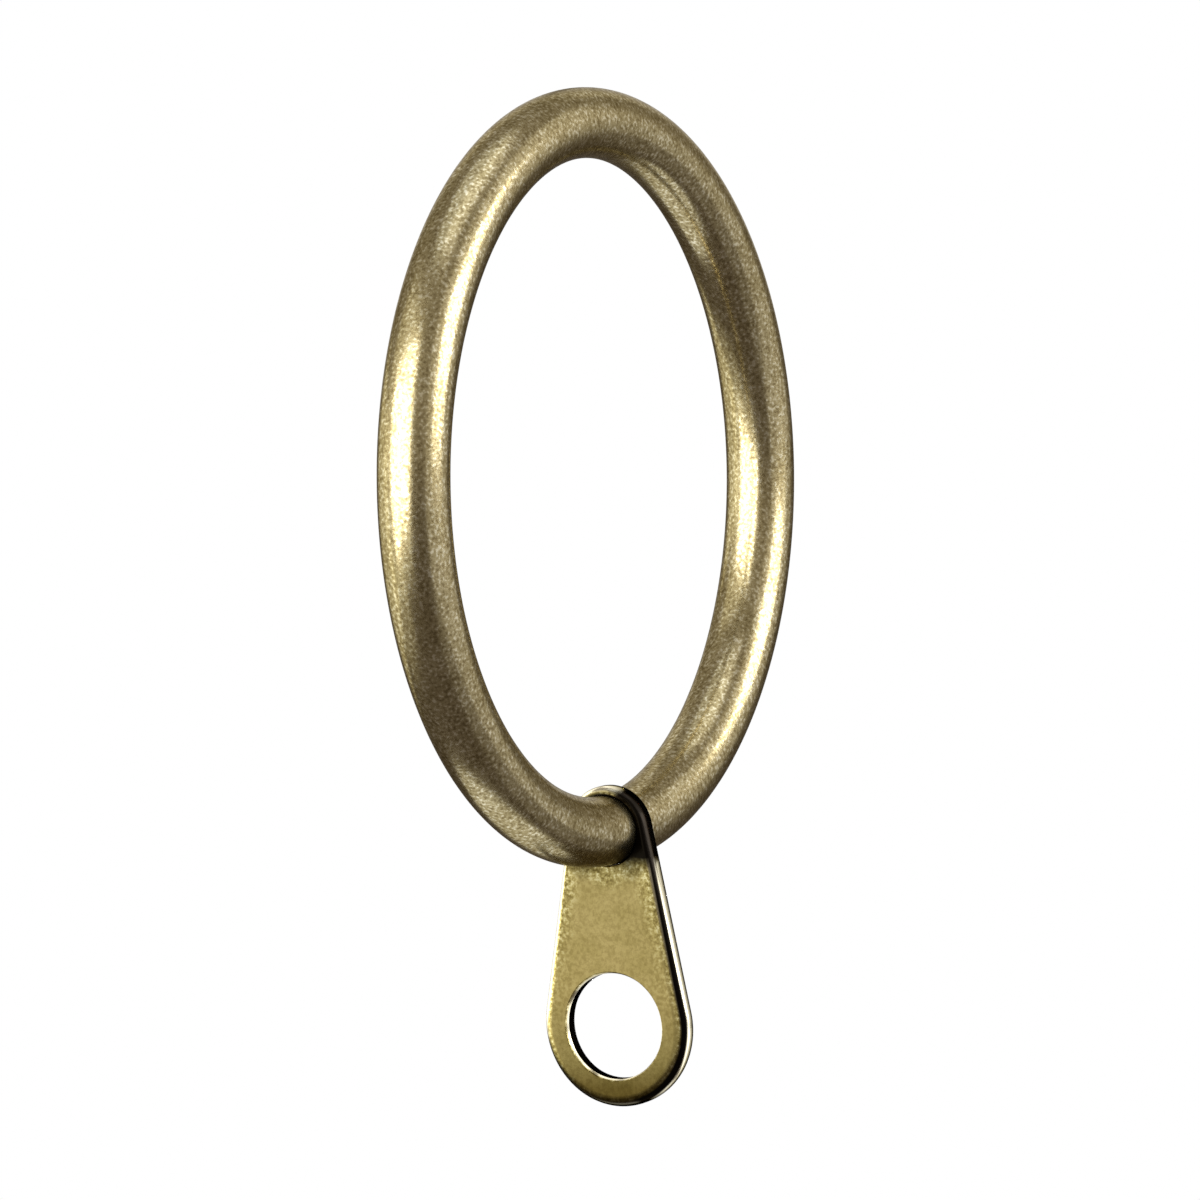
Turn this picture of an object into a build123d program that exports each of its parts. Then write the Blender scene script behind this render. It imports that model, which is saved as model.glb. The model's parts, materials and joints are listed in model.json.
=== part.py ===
# Curtain ring with a hanging eyelet: a closed ring of round wire, and a flat teardrop
# eyelet plate threaded on the wire, whose large eye takes the curtain's hook.
# Millimetres. The origin is the ring's centre, +X runs along the ring's axis,
# -Y faces the room and +Z is up, with the eyelet hanging at the bottom of the ring.
from build123d import *
import math
import os

# Ring
ring_inner_diameter = 38.0
wire_diameter = 4.2

# Eyelet plate
plate_thickness = 1.2
wire_hole_clearance = 0.12  # radial play of the wire hole on the wire
head_rim = 0.45             # metal left round the wire hole
eye_diameter = 6.4
eye_rim = 1.7               # metal left round the eye
eye_drop = 11.8             # from the wire hole's centre down to the eye's centre
front_edge_radius = 0.25    # outline rolled over by the punch, on the room side
edge_break = 0.12           # burrs taken off the holes and the back of the outline

# Sizes that follow from those above
wire_radius = wire_diameter / 2
ring_radius = ring_inner_diameter / 2 + wire_radius  # to the middle of the wire
wire_hole_radius = wire_radius + wire_hole_clearance
head_radius = wire_hole_radius + head_rim
eye_radius = eye_diameter / 2
eye_outer_radius = eye_radius + eye_rim
head_centre = (0, -ring_radius)
eye_centre = (0, -ring_radius - eye_drop)


def make_ring():
    """The wire's round section, turned about the ring's axis."""
    with BuildPart() as ring:
        with BuildSketch(Plane.XY):
            with Locations((0, ring_radius)):
                Circle(wire_radius)
        revolve(axis=Axis.X)
    return ring.part


def teardrop_outline():
    """Head and eye circles joined by the two straight flanks that touch both."""
    flank_angle = math.asin((eye_outer_radius - head_radius) / eye_drop)
    across = math.cos(flank_angle)
    along = math.sin(flank_angle)

    def touch_point(centre, radius, side):
        return (centre[0] + side * radius * across, centre[1] + radius * along)

    with BuildLine() as outline:
        head_left = touch_point(head_centre, head_radius, -1)
        head_right = touch_point(head_centre, head_radius, 1)
        eye_left = touch_point(eye_centre, eye_outer_radius, -1)
        eye_right = touch_point(eye_centre, eye_outer_radius, 1)
        head_top = (0, head_centre[1] + head_radius)
        eye_bottom = (0, eye_centre[1] - eye_outer_radius)
        ThreePointArc(head_left, head_top, head_right)
        Line(head_right, eye_right)
        ThreePointArc(eye_right, eye_bottom, eye_left)
        Line(eye_left, head_left)
    return outline.line


def outer_edges(face):
    """The edges of a face's outline."""
    return face.outer_wire().edges()


def hole_edges(face):
    """The edges of a face's holes."""
    return ShapeList(edge for wire in face.inner_wires() for edge in wire.edges())


def make_eyelet():
    """The plate, square to the wire: rounded in front by the punch, other edges broken."""
    with BuildPart() as eyelet:
        with BuildSketch(Plane.XZ):
            with BuildLine():
                add(teardrop_outline())
            make_face()
            with Locations(head_centre):
                Circle(wire_hole_radius, mode=Mode.SUBTRACT)
            with Locations(eye_centre):
                Circle(eye_radius, mode=Mode.SUBTRACT)
        extrude(amount=plate_thickness / 2, both=True)
        front, back = eyelet.faces().filter_by(Axis.Y).sort_by(Axis.Y)
        chamfer(hole_edges(front) + hole_edges(back) + outer_edges(back), edge_break)
        front = eyelet.faces().filter_by(Axis.Y).sort_by(Axis.Y)[0]
        fillet(outer_edges(front), front_edge_radius)
    return eyelet.part


os.makedirs("parts", exist_ok=True)
export_step(make_ring(), "parts/ring.step")
export_step(make_eyelet(), "parts/eyelet.step")
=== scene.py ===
# Curtain ring with a hanging eyelet, in speckled antique brass, on a plain white ground.
# Metres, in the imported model's frame: +X along the ring's axis, -Y to the room, +Z up.
import json
import math

import bmesh
import bpy
from mathutils import Matrix, Vector
from mathutils.geometry import delaunay_2d_cdt


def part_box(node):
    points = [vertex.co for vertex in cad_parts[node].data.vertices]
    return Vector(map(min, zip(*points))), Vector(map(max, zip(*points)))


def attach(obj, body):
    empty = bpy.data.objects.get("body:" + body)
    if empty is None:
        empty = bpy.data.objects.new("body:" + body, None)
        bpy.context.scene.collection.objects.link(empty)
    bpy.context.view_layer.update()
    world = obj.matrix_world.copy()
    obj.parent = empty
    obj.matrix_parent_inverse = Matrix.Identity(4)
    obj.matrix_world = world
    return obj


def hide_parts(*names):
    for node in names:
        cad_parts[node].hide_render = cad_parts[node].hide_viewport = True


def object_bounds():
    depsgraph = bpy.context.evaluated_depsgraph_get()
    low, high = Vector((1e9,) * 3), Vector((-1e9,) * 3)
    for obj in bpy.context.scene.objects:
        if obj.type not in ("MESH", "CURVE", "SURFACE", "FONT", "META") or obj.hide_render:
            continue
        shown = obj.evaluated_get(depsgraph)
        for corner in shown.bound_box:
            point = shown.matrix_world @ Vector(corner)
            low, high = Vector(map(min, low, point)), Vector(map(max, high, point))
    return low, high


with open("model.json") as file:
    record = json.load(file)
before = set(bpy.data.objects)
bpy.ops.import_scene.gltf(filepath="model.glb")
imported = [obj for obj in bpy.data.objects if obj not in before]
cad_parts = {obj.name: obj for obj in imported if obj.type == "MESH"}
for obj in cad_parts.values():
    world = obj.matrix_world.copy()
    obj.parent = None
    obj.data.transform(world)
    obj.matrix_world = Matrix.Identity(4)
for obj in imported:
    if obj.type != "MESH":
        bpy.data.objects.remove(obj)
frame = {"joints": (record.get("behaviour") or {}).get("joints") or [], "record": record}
cad_low, cad_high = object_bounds()

MM = 0.001

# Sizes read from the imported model
ring_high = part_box("ring")[1]
wire_radius = ring_high.x
ring_radius = ring_high.z - wire_radius
plate_low, plate_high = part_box("eyelet")
hook_eye = next(m for m in frame["record"]["mounts"] if m["name"] == "hook_eye")
swing = next(j for j in frame["joints"] if j["name"] == "eyelet_swing")
head_z = swing["pos_m"][2]
head_radius = plate_high.z - head_z
eye_z = hook_eye["pos_m"][2]
eye_radius = hook_eye["dims"]["r_mm"] * MM
eye_outer_radius = plate_high.x
plate_front = plate_low.y
plate_back = plate_high.y
plate_thickness = plate_back - plate_front

# Ring mesh
RING_STEPS = 400
WIRE_STEPS = 72

# Eyelet mesh
WIRE_HOLE_CLEARANCE = 0.02 * MM  # close on the wire, so that no light shows through
HEAD_ROLL_WIDTH = 0.36 * MM   # edge rolled over by the punch, narrow on the slim head
EYE_ROLL_WIDTH = 0.80 * MM    # and wider on the rest of the outline
ROLL_DEPTH = 0.60 * MM
BACK_BREAK = 0.24 * MM
WIRE_HOLE_BEVEL = 0.06 * MM
EYE_BEVEL_WIDTH = 0.11 * MM
EYE_BEVEL_DEPTH = 0.25 * MM
CROWN = 0.12 * MM             # how far the face falls away at the sides
SUPPORT = 0.03 * MM           # strip that keeps the flat face's shading flat
FACE_GRID = 0.45 * MM
HEAD_STEPS = 64
FLANK_STEPS = 40
EYE_STEPS = 112
HOLE_STEPS = 112
ROLL_STEPS = 10
BREAK_STEPS = 5
INSIDE_ONLY = 1               # the triangulation keeps to the inside of its outline
MERGE_DISTANCE = 1e-9

# Wear on the eyelet
WORN_REACH = 1.1 * MM         # speckled, in from the outline
WIRE_WORN_REACH = 1.0 * MM    # and out from the wire hole
SPECKS_FALL = 1.6             # how soon the outline's specks thin out, going down the plate
WORN_SPECKS = 0.45            # how worn the specks alone make it, before the metal is rubbed bright
SPECKS_FULL = 0.6 * WORN_SPECKS
ROLL_WORN = 0.60 * MM         # rubbed bright on the rolled edge
RUBBED_FULL = 0.70

# Painted shade and dark reflections on the eyelet, near black
# the wire's shadow, painted on the slim head and round the wire
HEAD_TOP = 1.6 * MM           # on the slim head, less at its top
HEAD_TOP_FADE = 0.8 * MM
HEAD_TOP_SLOPE = 0.6          # reaching higher towards the right
HEAD_DROP = 1.7 * MM          # down to the wire's underside
HEAD_DROP_FADE = 0.7 * MM
HEAD_RIM = 0.12 * MM          # and close round the wire at the head's top
HEAD_RIM_FADE = 0.15 * MM
# a dark reflection, painted on the edge under the eye
FOOT_REACH = 0.12 * MM        # on the edge under the eye
FOOT_FADE = 0.40 * MM
FOOT_DROP = 1.2 * MM          # from below the eye's centre
FOOT_DROP_FADE = 1.5 * MM
FOOT_RIGHT = 2.0 * MM         # as far as here on the right
FOOT_RIGHT_FADE = 1.2 * MM
# dark reflections, painted on the right-hand rolled edge and the outer edge, and painted shade on the back
ROLL_DARK = slice(5, 9)       # on these loops of the rolled edge, on its right
ROLL_DARK_FADE = 1.5 * MM     # across the plate's middle
NECK_DROP = 1.5 * MM          # and on its outer loops, fading from the head down
NECK_FADE = 5.0 * MM
WALL_DARK = 0.95              # on the plate's outer edge, half of it at the front
BACK_DARK = 0.5               # and on its back

# Camera, at the photograph's viewing angle
CAMERA_AZIMUTH = 29.3
CAMERA_ELEVATION = 4.9
CAMERA_ROLL = 2.4
CAMERA_DISTANCE = 0.406
CAMERA_CLIP = (0.01, 20)
FRAME_HEIGHT = 0.0715         # of the view, at the object
SENSOR = 36.0

# Studio
LAMP_DISTANCE = 0.5
NEAR_LAMP_DISTANCE = 0.30     # near enough to clear the floor and the cloth
WARM_LIGHT = (1.0, 0.98, 0.80)
WHITE_LIGHT = (1.0, 1.0, 1.0)
PLAIN_WHITE = (*WHITE_LIGHT, 1.0)
WORLD_FILL = 0.7              # strength of the light from all round
FLOOR_Z = cad_low.z - 0.2
FLOOR_HALF = 3.0
SQUARE = ((-1, -1), (1, -1), (1, 1), (-1, 1))
FLOOR_TONE = (0.9, 0.9, 0.9, 1.0)
FLOOR_SHADOW = 0.30           # the floor keeps the part's shadow to about here
FLOOR_WHITE = 0.8             # share of plain white there, and all white further out
CLOTH_RADIUS = 0.7
CLOTH_HIGH = 1.55             # open above, from about 66 degrees up
CLOTH_LIFT = 0.002
CLOTH_SIDES = 64
OPENING_RADIUS = 0.145        # bare floor under the part
OPENING_BEHIND = 0.130        # its middle, behind the part
CLOTH_TONES = [(0.0, (0.16, 0.135, 0.12)), (0.10, (0.20, 0.175, 0.155)), (0.22, (0.40, 0.355, 0.30)),
               (0.36, (0.44, 0.40, 0.34)), (1.0, (0.36, 0.325, 0.29))]

# Brass, with colour stops by noise value, or by height on the plate for the face's painted shade
BRASS_EDGE = (0.50, 0.48, 0.44, 1.0)  # tint at a glancing angle
RUBBED_BRASS = (0.74, 0.69, 0.52, 1.0)
# near black, for painted shade and dark reflections on the eyelet
PAINTED_SHADE_COLOUR = (0.012, 0.010, 0.008, 1.0)
GRAIN_RANGE = (0.3, 0.7)      # noise values at the hollows and tops of the grain
RING_GRAIN = 0.10 * MM
RING_PATCH = 0.7 * MM
RING_BUMP = 0.005 * MM
RING_ROUGHNESS = (0.28, 0.20)  # in the hollows and on the tops
RING_SPECKS = [(0.32, (0.265, 0.210, 0.107)), (0.45, (0.425, 0.357, 0.197)),
               (0.56, (0.50, 0.430, 0.250)), (0.68, (0.80, 0.745, 0.550))]
RING_PATINA = [(0.35, (0.80, 0.78, 0.72)), (0.62, (1.0, 1.0, 1.0))]
EYELET_GRAIN = 0.12 * MM
EYELET_PATCH = 0.8 * MM
EYELET_BUMP = 0.003 * MM
EYELET_ROUGHNESS = (0.24, 0.18)
FACE_TONES = [(0.35, (0.485, 0.405, 0.175)), (0.65, (0.56, 0.47, 0.22))]
FACE_SPECKS = [(0.36, (0.80, 0.78, 0.72)), (0.60, (1.0, 1.0, 1.0))]
WORN_TONES = [(0.34, (0.22, 0.17, 0.05)), (0.47, (0.48, 0.40, 0.16)),
              (0.56, (0.68, 0.60, 0.28)), (0.64, (1.0, 0.95, 0.62))]
# painted shade, darker towards the plate's foot
FACE_PAINTED_SHADE = [(0.0, (0.26, 0.23, 0.14)), (0.08, (0.30, 0.27, 0.18)), (0.19, (0.58, 0.57, 0.50)),
             (0.45, (0.88, 0.86, 0.82)), (1.0, (1.0, 1.0, 1.0))]


def link(obj):
    """Adds an object to the scene."""
    bpy.context.scene.collection.objects.link(obj)
    return obj


# Node helpers


def new_material(name):
    """A node material with no nodes yet; returns the material and its node tree."""
    material = bpy.data.materials.new(name)
    material.use_nodes = True
    material.node_tree.nodes.clear()
    return material, material.node_tree


def add_node(tree, kind, inputs=None, **settings):
    """A node with its settings and its inputs, each a value or another node's output socket."""
    node = tree.nodes.new(kind)
    for key, value in settings.items():
        setattr(node, key, value)
    for key, value in (inputs or {}).items():
        if isinstance(value, bpy.types.NodeSocket):
            tree.links.new(value, node.inputs[key])
        else:
            node.inputs[key].default_value = value
    return node


def object_coords(tree):
    return add_node(tree, "ShaderNodeTexCoord").outputs["Object"]


def height_of(tree, coords):
    return add_node(tree, "ShaderNodeSeparateXYZ", {"Vector": coords}).outputs["Z"]


def attribute(tree, name):
    return add_node(tree, "ShaderNodeAttribute", attribute_name=name).outputs["Fac"]


def noise(tree, coords, feature, detail, roughness):
    """A noise value whose lumps are about one feature across."""
    made = add_node(tree, "ShaderNodeTexNoise",
                    {"Vector": coords, "Scale": 1 / (2 * feature), "Detail": detail, "Roughness": roughness})
    return made.outputs["Fac"]


def ramp(tree, value, stops):
    """A colour ramp through (position, colour) stops."""
    node = add_node(tree, "ShaderNodeValToRGB", {"Fac": value})
    elements = node.color_ramp.elements
    while len(elements) < len(stops):
        elements.new(0.5)
    for element, (position, colour) in zip(elements, stops):
        element.position = position
        element.color = (*colour, 1.0)
    return node.outputs["Color"]


def remap(tree, value, low, high, to_low=0.0, to_high=1.0):
    """A value's range moved to another range, and held at its ends."""
    node = add_node(tree, "ShaderNodeMapRange",
                    {"Value": value, "From Min": low, "From Max": high, "To Min": to_low, "To Max": to_high})
    return node.outputs["Result"]


def mix_colour(tree, factor, first, second, blend="MIX"):
    """Two colours mixed; the node's factor, colours and result go by number, as their names repeat."""
    node = add_node(tree, "ShaderNodeMix", {0: factor, 6: first, 7: second},
                    data_type="RGBA", blend_type=blend)
    return node.outputs[2]


# Materials


def brass_shader(tree, colour, grain, roughness, bump_depth, edge=BRASS_EDGE):
    """Metal whose grain is also a fine bump, smoother on its tops than in its hollows."""
    bump = add_node(tree, "ShaderNodeBump", {"Height": grain, "Strength": 1.0, "Distance": bump_depth})
    shader = add_node(tree, "ShaderNodeBsdfPrincipled",
                      {"Base Color": colour, "Metallic": 1.0,
                       "Roughness": remap(tree, grain, *GRAIN_RANGE, *roughness),
                       "Specular Tint": edge, "Normal": bump.outputs["Normal"]})
    add_node(tree, "ShaderNodeOutputMaterial", {"Surface": shader.outputs["BSDF"]})


def ring_brass():
    """Darkened brass with a fine speckled grain and soft clouds of brown patina."""
    material, tree = new_material("ring_antique_brass")
    coords = object_coords(tree)
    grain = noise(tree, coords, RING_GRAIN, detail=1.5, roughness=0.5)
    patches = noise(tree, coords, RING_PATCH, detail=3.0, roughness=0.6)
    speckled = ramp(tree, grain, RING_SPECKS)
    patina = ramp(tree, patches, RING_PATINA)
    colour = mix_colour(tree, 1.0, speckled, patina, "MULTIPLY")
    brass_shader(tree, colour, grain, RING_ROUGHNESS, RING_BUMP)
    return material


def eyelet_brass():
    """Smoother olive-gold brass, worn along its edges, with painted shade towards the foot and near-black
    painted shade and dark reflections on its head, edges and hole walls.
    """
    material, tree = new_material("eyelet_antique_brass")
    coords = object_coords(tree)
    worn = attribute(tree, "worn")
    painted_shade = attribute(tree, "painted_shade")
    grain = noise(tree, coords, EYELET_GRAIN, detail=2.5, roughness=0.65)
    patches = noise(tree, coords, EYELET_PATCH, detail=3.0, roughness=0.6)
    rise = remap(tree, height_of(tree, coords), plate_low.z, head_z - wire_radius)
    face = mix_colour(tree, 1.0, ramp(tree, patches, FACE_TONES), ramp(tree, grain, FACE_SPECKS), "MULTIPLY")
    colour = mix_colour(tree, remap(tree, worn, 0.0, SPECKS_FULL), face, ramp(tree, grain, WORN_TONES))
    # painted shade, darkening the plate towards its foot
    colour = mix_colour(tree, 1.0, colour, ramp(tree, rise, FACE_PAINTED_SHADE), "MULTIPLY")
    colour = mix_colour(tree, remap(tree, worn, WORN_SPECKS, RUBBED_FULL), colour, RUBBED_BRASS)
    # painted shade and dark reflections, in the colour and in the glancing tint
    colour = mix_colour(tree, painted_shade, colour, PAINTED_SHADE_COLOUR)
    edge = mix_colour(tree, painted_shade, BRASS_EDGE, PAINTED_SHADE_COLOUR)
    brass_shader(tree, colour, grain, EYELET_ROUGHNESS, EYELET_BUMP, edge)
    return material


# Pieces


def add_piece(name, bm, material, body, node):
    """Turns a bmesh into a smooth-shaded piece that rides on a body and stands for a node."""
    bmesh.ops.recalc_face_normals(bm, faces=bm.faces)
    mesh = bpy.data.meshes.new(name)
    bm.to_mesh(mesh)
    bm.free()
    mesh.shade_smooth()
    mesh.materials.append(material)
    piece = link(bpy.data.objects.new(name, mesh))
    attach(piece, body)
    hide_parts(node)
    return piece


def add_loop(bm, points):
    return [bm.verts.new(p) for p in points]


def bridge(bm, first, second):
    """Quads between two closed loops of as many points."""
    count = len(first)
    for i in range(count):
        j = (i + 1) % count
        bm.faces.new((first[i], first[j], second[j], second[i]))


def make_ring():
    """The round wire, closed on itself."""
    bm = bmesh.new()
    loops = []
    for i in range(RING_STEPS):
        turn = 2 * math.pi * i / RING_STEPS
        outward = Vector((0, math.cos(turn), math.sin(turn)))
        points = []
        for j in range(WIRE_STEPS):
            angle = 2 * math.pi * j / WIRE_STEPS
            reach = ring_radius + wire_radius * math.cos(angle)
            points.append(outward * reach + Vector((wire_radius * math.sin(angle), 0, 0)))
        loops.append(add_loop(bm, points))
    for i in range(RING_STEPS):
        bridge(bm, loops[i - 1], loops[i])
    return bm


def arc(centre_z, radius, start, end, steps):
    """Points (x, z) on an arc, without its last point."""
    angles = [start + (end - start) * i / steps for i in range(steps)]
    return [(radius * math.cos(a), centre_z + radius * math.sin(a)) for a in angles]


def straight(start, end, steps):
    """Points (x, z) on a line, without its last point."""
    return [(start[0] + (end[0] - start[0]) * i / steps, start[1] + (end[1] - start[1]) * i / steps)
            for i in range(steps)]


def teardrop(share):
    """The plate's outline, moved in by a share of the rolled edge's width."""
    head = head_radius - share * HEAD_ROLL_WIDTH
    eye = eye_outer_radius - share * EYE_ROLL_WIDTH
    flank = math.asin((eye_outer_radius - head_radius) / (head_z - eye_z))
    left = math.pi - flank
    right = 2 * math.pi + flank
    head_arc = arc(head_z, head, flank, left, HEAD_STEPS)
    eye_arc = arc(eye_z, eye, left, right, EYE_STEPS)
    head_left = (head * math.cos(left), head_z + head * math.sin(left))
    eye_right = (eye * math.cos(right), eye_z + eye * math.sin(right))
    return (head_arc + straight(head_left, eye_arc[0], FLANK_STEPS)
            + eye_arc + straight(eye_right, head_arc[0], FLANK_STEPS))


def circle(centre_z, radius):
    """Points (x, z) round a hole."""
    return arc(centre_z, radius, 0, 2 * math.pi, HOLE_STEPS)


def quarter(steps):
    """(in, down) shares round a quarter of an ellipse, from the face over the edge."""
    turns = [math.pi / 2 * i / steps for i in range(steps + 1)]
    return [(1 - math.sin(t), 1 - math.cos(t)) for t in turns]


CHAMFER = [(1.0, 0.0), (0.9, 0.1), (0.1, 0.9), (0.0, 1.0)]  # the same shares on a flat bevel


def lift(outline, depth):
    """An outline's points (x, z) set at a depth."""
    return [(x, depth, z) for x, z in outline]


def outline_loops(bm):
    """The plate's outer edge from the front face to the back: rolled, straight, broken."""
    inner_share = 1 + SUPPORT / HEAD_ROLL_WIDTH
    back_share = BACK_BREAK / EYE_ROLL_WIDTH
    loops = [lift(teardrop(inner_share), plate_front)]
    for inward, down in quarter(ROLL_STEPS):
        loops.append(lift(teardrop(inward), plate_front + down * ROLL_DEPTH))
    for inward, down in reversed(quarter(BREAK_STEPS)):
        loops.append(lift(teardrop(inward * back_share), plate_back - down * BACK_BREAK))
    loops.append(lift(teardrop(inner_share), plate_back))
    return [add_loop(bm, points) for points in loops]


def hole_loops(bm, centre_z, radius, bevel_width, bevel_depth):
    """A hole's wall from the front face to the back, with both its edges bevelled."""
    loops = [lift(circle(centre_z, radius + bevel_width + SUPPORT), plate_front)]
    for inward, down in CHAMFER:
        loops.append(lift(circle(centre_z, radius + inward * bevel_width), plate_front + down * bevel_depth))
    loops.append(lift(circle(centre_z, radius), plate_front + bevel_depth + SUPPORT))
    loops.append(lift(circle(centre_z, radius), plate_back - bevel_depth - SUPPORT))
    for inward, down in reversed(CHAMFER):
        loops.append(lift(circle(centre_z, radius + inward * bevel_width), plate_back - down * bevel_depth))
    loops.append(lift(circle(centre_z, radius + bevel_width + SUPPORT), plate_back))
    return [add_loop(bm, points) for points in loops]


def place_on_plate(x, z):
    """How far down from wire to eye a point lies, 0 to 1, and its way from outline, wire and eye."""
    along = min(1, max(0, (head_z - z) / (head_z - eye_z)))
    middle_z = head_z + along * (eye_z - head_z)
    half_width = head_radius + along * (eye_outer_radius - head_radius)
    from_outline = half_width - math.hypot(x, z - middle_z)
    from_wire = math.hypot(x, z - head_z) - wire_radius
    from_eye = math.hypot(x, z - eye_z) - eye_radius
    return along, from_outline, from_wire, from_eye


def fill_face(bm, outline, holes, depth):
    """Triangles over a face, between its outline and its holes, with points inside for the crown."""
    verts = []
    edges = []
    loop_of = []  # 0 for the outline and the points inside it, then a number for each hole
    for number, loop in enumerate([outline, *holes]):
        start, count = len(verts), len(loop)
        edges += [(start + i, start + (i + 1) % count) for i in range(count)]
        verts += loop
        loop_of += [number] * count
    columns = int(eye_outer_radius / FACE_GRID)
    rows = int((plate_high.z - plate_low.z) / FACE_GRID)
    margin = EYE_ROLL_WIDTH + FACE_GRID
    for column in range(-columns, columns + 1):
        for row in range(rows):
            x, z = column * FACE_GRID, plate_low.z + row * FACE_GRID
            _, *from_edges = place_on_plate(x, z)
            if min(from_edges) > margin:
                verts.append(bm.verts.new((x, depth, z)))
                loop_of.append(0)
    points = [Vector((v.co.x, v.co.z)) for v in verts]
    _, _, triangles, sources, _, _ = delaunay_2d_cdt(points, edges, [], INSIDE_ONLY, MERGE_DISTANCE)
    for triangle in triangles:
        corners = [sources[i][0] for i in triangle]
        around = {loop_of[i] for i in corners}
        across_hole = len(around) == 1 and around != {0}
        if not across_hole:
            bm.faces.new([verts[i] for i in corners])


def crown(bm):
    """Lets the front face fall away a little towards the sides, as a punched plate does."""
    for v in bm.verts:
        front_share = (plate_back - v.co.y) / plate_thickness
        v.co.y += front_share * CROWN * (v.co.x / eye_outer_radius) ** 2


def fade(gap, reach):
    """1 at no gap, falling to 0 at the reach."""
    return min(1, max(0, 1 - gap / reach))


def mark_wear_and_shade(bm):
    """Stores at each point of the plate how worn it is, and how much painted shade it gets."""
    worn = bm.verts.layers.float["worn"]
    painted_shade = bm.verts.layers.float["painted_shade"]
    for v in bm.verts:
        x, _, z = v.co
        along, from_outline, from_wire, from_eye = place_on_plate(x, z)
        from_wire -= WIRE_HOLE_CLEARANCE
        upper = min(1, SPECKS_FALL * (1 - along))
        specks = WORN_SPECKS * max(upper * fade(from_outline, WORN_REACH), fade(from_wire, WIRE_WORN_REACH))
        v[worn] = max(specks, fade(from_outline, ROLL_WORN), fade(from_eye, EYE_BEVEL_WIDTH + SUPPORT))
        # the wire's shadow painted on the slim head, reaching higher on the right
        below_top = fade(z - head_z - HEAD_TOP - HEAD_TOP_SLOPE * x, HEAD_TOP_FADE)
        above_face = fade(head_z - HEAD_DROP - z, HEAD_DROP_FADE)
        # a dark reflection painted on the edge under the eye
        foot = (fade(from_outline - FOOT_REACH, FOOT_FADE) * fade(x - FOOT_RIGHT, FOOT_RIGHT_FADE)
                * fade(z - eye_z + FOOT_DROP, FOOT_DROP_FADE))
        # a contact shadow painted close round the wire at the head's top
        rim = fade(from_wire - HEAD_RIM, HEAD_RIM_FADE) if z > head_z else 0
        v[painted_shade] = max(below_top * above_face, foot, rim)


def on_right(at):
    """0 left of the plate's middle, rising to 1 on its right."""
    return 1 - fade(at.x, ROLL_DARK_FADE)


def on_right_of_neck(at):
    """The same, fading from the head down."""
    return on_right(at) * fade(head_z - NECK_DROP - at.z, NECK_FADE)


def paint_shade(bm, loops, amount, share=lambda at: 1):
    """Adds painted shade to some loops of points, an amount times a share that depends on the place."""
    painted_shade = bm.verts.layers.float["painted_shade"]
    for loop in loops:
        for v in loop:
            v[painted_shade] = max(v[painted_shade], amount * share(v.co))


def make_eyelet():
    """The teardrop plate with its two holes, and its wear and painted shade stored on its points."""
    bm = bmesh.new()
    for layer in ("worn", "painted_shade"):
        bm.verts.layers.float.new(layer)
    outline = outline_loops(bm)
    wire_hole = hole_loops(bm, head_z, wire_radius + WIRE_HOLE_CLEARANCE, WIRE_HOLE_BEVEL, WIRE_HOLE_BEVEL)
    eye = hole_loops(bm, eye_z, eye_radius, EYE_BEVEL_WIDTH, EYE_BEVEL_DEPTH)
    for loops in (outline, wire_hole, eye):
        for first, second in zip(loops, loops[1:]):
            bridge(bm, first, second)
    for side, depth in ((0, plate_front), (-1, plate_back)):
        fill_face(bm, outline[side], [wire_hole[side], eye[side]], depth)

    mark_wear_and_shade(bm)
    roll_end = ROLL_STEPS + 1
    wall_start = len(CHAMFER)
    back = [v for v in bm.verts if v.co.y >= plate_back]
    # dark reflections painted on the right-hand rolled edge and the outer edge, painted shade on the back and
    # in the holes' walls
    paint_shade(bm, outline[ROLL_DARK], 1, on_right)
    paint_shade(bm, outline[ROLL_DARK.stop:roll_end], 1, on_right_of_neck)
    paint_shade(bm, [outline[roll_end]], WALL_DARK / 2)
    paint_shade(bm, outline[roll_end + 1:-1], WALL_DARK)
    paint_shade(bm, [back], BACK_DARK)
    paint_shade(bm, wire_hole[wall_start:-1] + eye[wall_start + 1:-1], 1)
    crown(bm)
    return bm


# Studio


def direction(azimuth, elevation):
    """Unit vector; azimuth 0 is -Y, turning towards +X, and elevation is above the horizon."""
    a, e = math.radians(azimuth), math.radians(elevation)
    return Vector((math.sin(a) * math.cos(e), -math.cos(a) * math.cos(e), math.sin(e)))


def aim_at(obj, target, outward, distance, roll):
    """Places obj at a distance outward from the target, looking back at it."""
    turn = (-outward).to_track_quat("-Z", "Y").to_matrix().to_4x4()
    obj.matrix_world = Matrix.Translation(target + outward * distance) @ turn @ Matrix.Rotation(roll, 4, "Z")


def make_camera():
    data = bpy.data.cameras.new("camera")
    data.sensor_width = SENSOR
    data.lens = SENSOR * CAMERA_DISTANCE / FRAME_HEIGHT
    data.clip_start, data.clip_end = CAMERA_CLIP
    camera = link(bpy.data.objects.new("camera", data))
    middle = Vector((0, 0, (cad_low.z + cad_high.z) / 2))
    aim_at(camera, middle, direction(CAMERA_AZIMUTH, CAMERA_ELEVATION), CAMERA_DISTANCE,
           math.radians(-CAMERA_ROLL))
    bpy.context.scene.camera = camera


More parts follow.
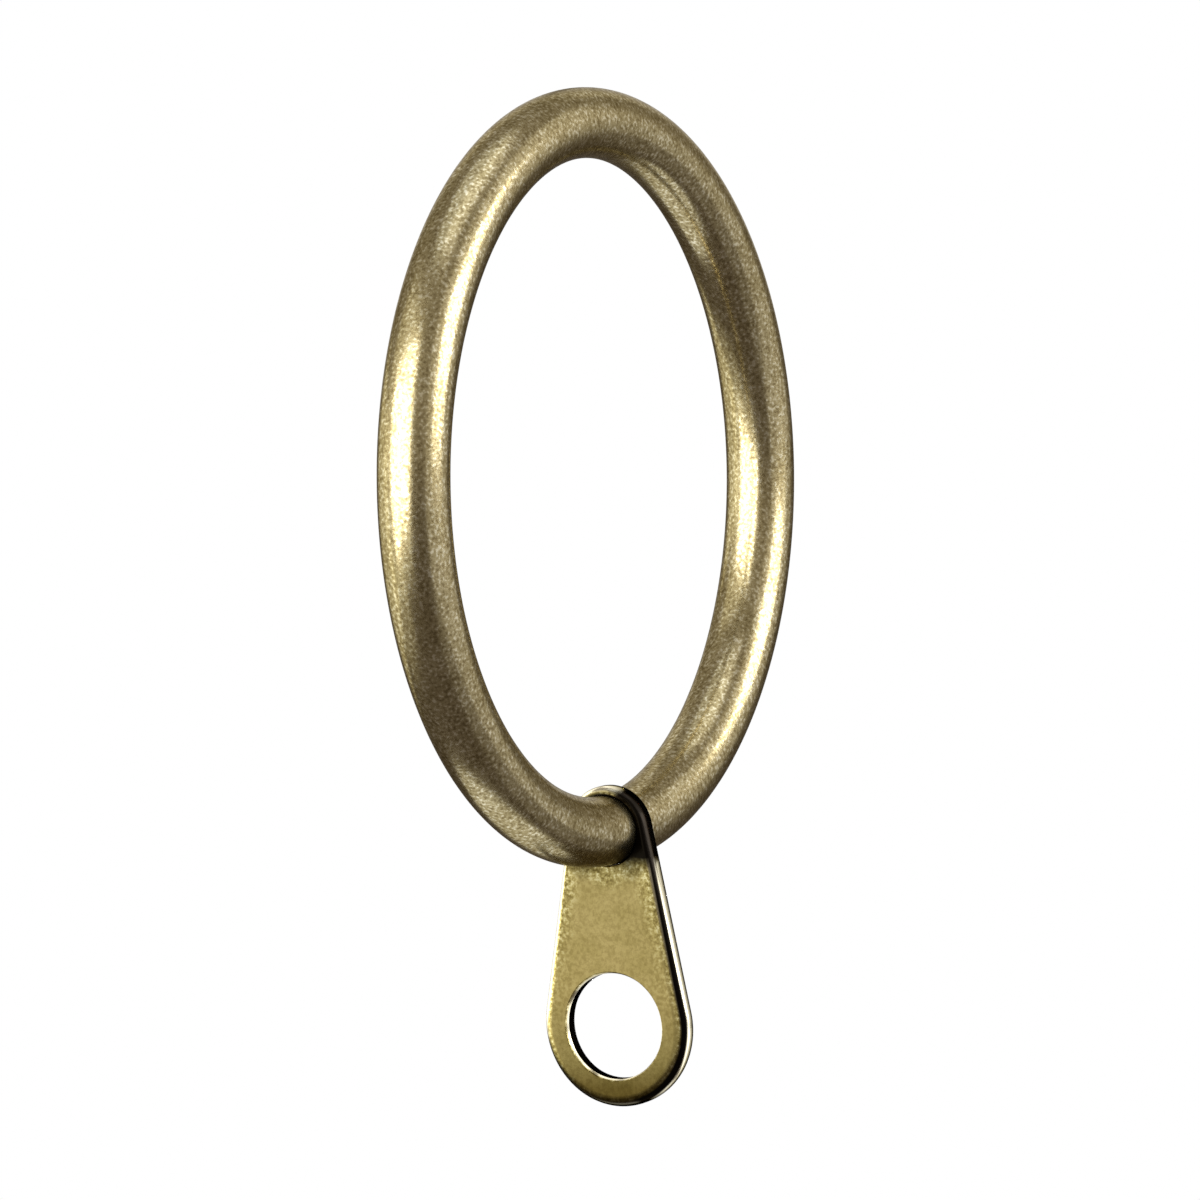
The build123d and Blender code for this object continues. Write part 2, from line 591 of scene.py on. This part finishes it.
def softbox(name, azimuth, elevation, wide, high, radiance, roll=0.0, colour=WHITE_LIGHT,
            distance=LAMP_DISTANCE):
    """An even lamp, wide by high degrees as the ring sees it, from a bearing off the camera's."""
    data = bpy.data.lights.new(name, "AREA")
    data.shape = "RECTANGLE"
    data.color = colour
    data.size = 2 * distance * math.tan(math.radians(wide / 2))
    data.size_y = 2 * distance * math.tan(math.radians(high / 2))
    data.energy = radiance * math.pi * data.size * data.size_y
    lamp = link(bpy.data.objects.new(name, data))
    bearing = direction(CAMERA_AZIMUTH + azimuth, elevation)
    aim_at(lamp, Vector((0, 0, 0)), bearing, distance, math.radians(roll))
    lamp.visible_camera = False
    return lamp


def link_light(lamp, piece, state):
    """Gives a lamp's light to one piece only (INCLUDE), or to all but that piece (EXCLUDE)."""
    linked = bpy.data.collections.new(lamp.name + "_link")
    linked.objects.link(piece)
    linked.collection_objects[0].light_linking.link_state = state
    lamp.light_linking.receiver_collection = linked


def reflected_only(obj):
    """Lets an object shape the reflections in the metal and show nowhere else."""
    obj.visible_camera = False
    obj.visible_diffuse = False
    obj.visible_shadow = False


def glow(name, low, high, stops):
    """A glowing material whose tone changes with height, from low to high, by a ramp."""
    material, tree = new_material(name)
    height = height_of(tree, object_coords(tree))
    tones = ramp(tree, remap(tree, height, low, high), stops)
    tone = add_node(tree, "ShaderNodeEmission", {"Color": tones, "Strength": 1.0})
    add_node(tree, "ShaderNodeOutputMaterial", {"Surface": tone.outputs["Emission"]})
    return material


def make_cloth():
    """Dark cloth over the floor and up round the set, open above and right under the part."""
    behind = direction(CAMERA_AZIMUTH + 180, 0) * OPENING_BEHIND
    turns = [2 * math.pi * i / CLOTH_SIDES for i in range(CLOTH_SIDES)]
    bm = bmesh.new()
    rounds = []
    for middle, radius, height in ((behind, OPENING_RADIUS, FLOOR_Z + CLOTH_LIFT),
                                   (Vector(), CLOTH_RADIUS, FLOOR_Z + CLOTH_LIFT),
                                   (Vector(), CLOTH_RADIUS, CLOTH_HIGH)):
        rounds.append(add_loop(bm, [(middle.x + radius * math.cos(t), middle.y + radius * math.sin(t), height)
                                    for t in turns]))
    for lower, upper in zip(rounds, rounds[1:]):
        bridge(bm, lower, upper)
    mesh = bpy.data.meshes.new("cloth")
    bm.to_mesh(mesh)
    bm.free()
    mesh.materials.append(glow("cloth", FLOOR_Z, CLOTH_HIGH, CLOTH_TONES))
    reflected_only(link(bpy.data.objects.new("cloth", mesh)))


def seen_directly(tree):
    """1 for rays from the camera, a mirror or a glass; 0 for the light that falls on things."""
    path = add_node(tree, "ShaderNodeLightPath")
    either = add_node(tree, "ShaderNodeMath", operation="MAXIMUM",
                      inputs={0: path.outputs["Is Camera Ray"], 1: path.outputs["Is Glossy Ray"]})
    any_of = add_node(tree, "ShaderNodeMath", operation="MAXIMUM",
                      inputs={0: either.outputs["Value"], 1: path.outputs["Is Transmission Ray"]})
    return any_of.outputs["Value"]


def make_world():
    """Plain white where it is seen directly, and a softer light on things."""
    world = bpy.data.worlds.new("studio")
    world.use_nodes = True
    tree = world.node_tree
    tree.nodes.clear()
    fill = add_node(tree, "ShaderNodeBackground", {"Color": PLAIN_WHITE, "Strength": WORLD_FILL})
    white = add_node(tree, "ShaderNodeBackground", {"Color": PLAIN_WHITE, "Strength": 1.0})
    either = add_node(tree, "ShaderNodeMixShader",
                      {0: seen_directly(tree), 1: fill.outputs["Background"], 2: white.outputs["Background"]})
    add_node(tree, "ShaderNodeOutputWorld", {"Surface": either.outputs["Shader"]})
    bpy.context.scene.world = world


def make_floor():
    """A pale floor below the hanging part, white to the camera but for the part's soft shadow."""
    mesh = bpy.data.meshes.new("floor")
    corners = [(x * FLOOR_HALF, y * FLOOR_HALF, FLOOR_Z) for x, y in SQUARE]
    mesh.from_pydata(corners, [], [(0, 1, 2, 3)])
    material, tree = new_material("floor_white")
    matt = add_node(tree, "ShaderNodeBsdfDiffuse", {"Color": FLOOR_TONE})
    white = add_node(tree, "ShaderNodeEmission", {"Color": PLAIN_WHITE, "Strength": 1.0})
    reach = add_node(tree, "ShaderNodeVectorMath", {0: object_coords(tree)}, operation="LENGTH")
    whiteness = remap(tree, reach.outputs["Value"], FLOOR_SHADOW, 2 * FLOOR_SHADOW, FLOOR_WHITE, 1.0)
    share = add_node(tree, "ShaderNodeMath", {0: seen_directly(tree), 1: whiteness}, operation="MULTIPLY")
    both = add_node(tree, "ShaderNodeMixShader",
                    {0: share.outputs["Value"], 1: matt.outputs["BSDF"], 2: white.outputs["Emission"]})
    add_node(tree, "ShaderNodeOutputMaterial", {"Surface": both.outputs["Shader"]})
    mesh.materials.append(material)
    link(bpy.data.objects.new("floor", mesh))


add_piece("brass_ring", make_ring(), ring_brass(), "ring", "ring")
eyelet = add_piece("brass_eyelet", make_eyelet(), eyelet_brass(), "eyelet", "eyelet")

make_camera()
make_world()
make_floor()
make_cloth()

# Lamps: azimuth off the camera's, elevation, width and height in degrees, then radiance
light_left = softbox("light_left", -44, 13, 61, 46, 4.8, roll=13)
light_eye = softbox("light_eye", 120, 35, 110, 90, 1.5, distance=NEAR_LAMP_DISTANCE)
light_edge = softbox("light_edge", -128, 8, 60, 60, 2.0)
light_low = softbox("light_low", 110, -32, 120, 36, 1.7, distance=NEAR_LAMP_DISTANCE)
softbox("glow_left", -58, 6, 104, 88, 0.5, colour=WARM_LIGHT)
softbox("glow_far_left", -112, -9, 56, 44, 0.85, colour=WARM_LIGHT)
softbox("glow_low_left", -76, -25, 50, 28, 0.30, colour=WARM_LIGHT, distance=NEAR_LAMP_DISTANCE)
softbox("light_right", 79, 15, 40, 24, 5.0, roll=-8)
softbox("glow_right", 82, 2, 90, 88, 0.5)
softbox("glow_low_right", 85, -38, 90, 30, 0.15, distance=NEAR_LAMP_DISTANCE)
softbox("light_top", 60, 74, 44, 30, 0.65)
softbox("light_back_left", -165, 20, 25, 40, 0.6)
softbox("light_back_right", 165, 20, 25, 40, 0.6)
link_light(light_left, eyelet, "EXCLUDE")
for lamp in (light_eye, light_edge, light_low):
    link_light(lamp, eyelet, "INCLUDE")

bpy.context.scene.view_settings.view_transform = "Standard"
